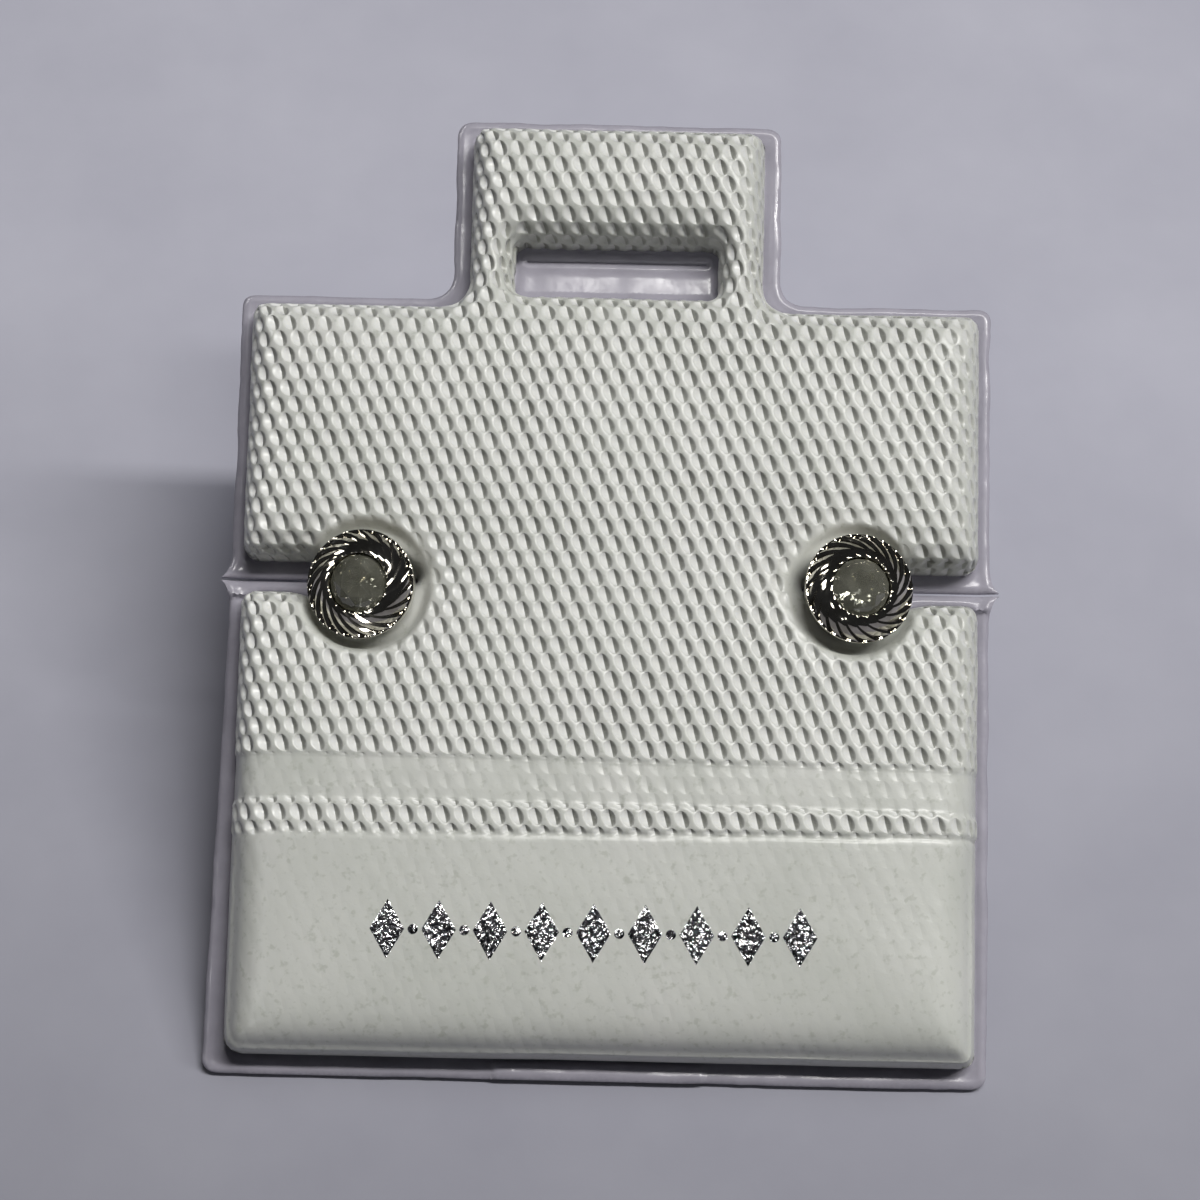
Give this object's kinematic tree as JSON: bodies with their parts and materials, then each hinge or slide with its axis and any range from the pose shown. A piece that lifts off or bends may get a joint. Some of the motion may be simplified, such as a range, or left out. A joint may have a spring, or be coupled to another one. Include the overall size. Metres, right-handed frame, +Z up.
{
  "type": "stud earring pair on puffed earring card",
  "caption": "Round diamond-cut stud earrings with a set stone, a post and a butterfly back, held in the side slits of a puffed, embossed vinyl hang card.",
  "frame": {"origin": "middle of the footprint, on the table that the card's lower edge and the two post tips rest on", "axes": "+X across the card, +Y along the table towards the card's hang tab, +Z up"},
  "size_m": [0.027, 0.0309, 0.0158],
  "materials": {
    "vinyl": "satin puffed vinyl with a fine diamond emboss, ivory with a faint green cast",
    "film": "clear glossy plastic film with a faint lavender cast",
    "silver": "bright polished silver with diamond-cut facets",
    "stone": "clear faceted stone"
  },
  "bodies": {
    "root": {"backing_film": "film", "puffed_pad": "vinyl", "left_setting_and_post": "silver", "left_stone": "stone", "left_clutch": "silver", "right_setting_and_post": "silver", "right_stone": "stone", "right_clutch": "silver"}
  },
  "joints": []
}
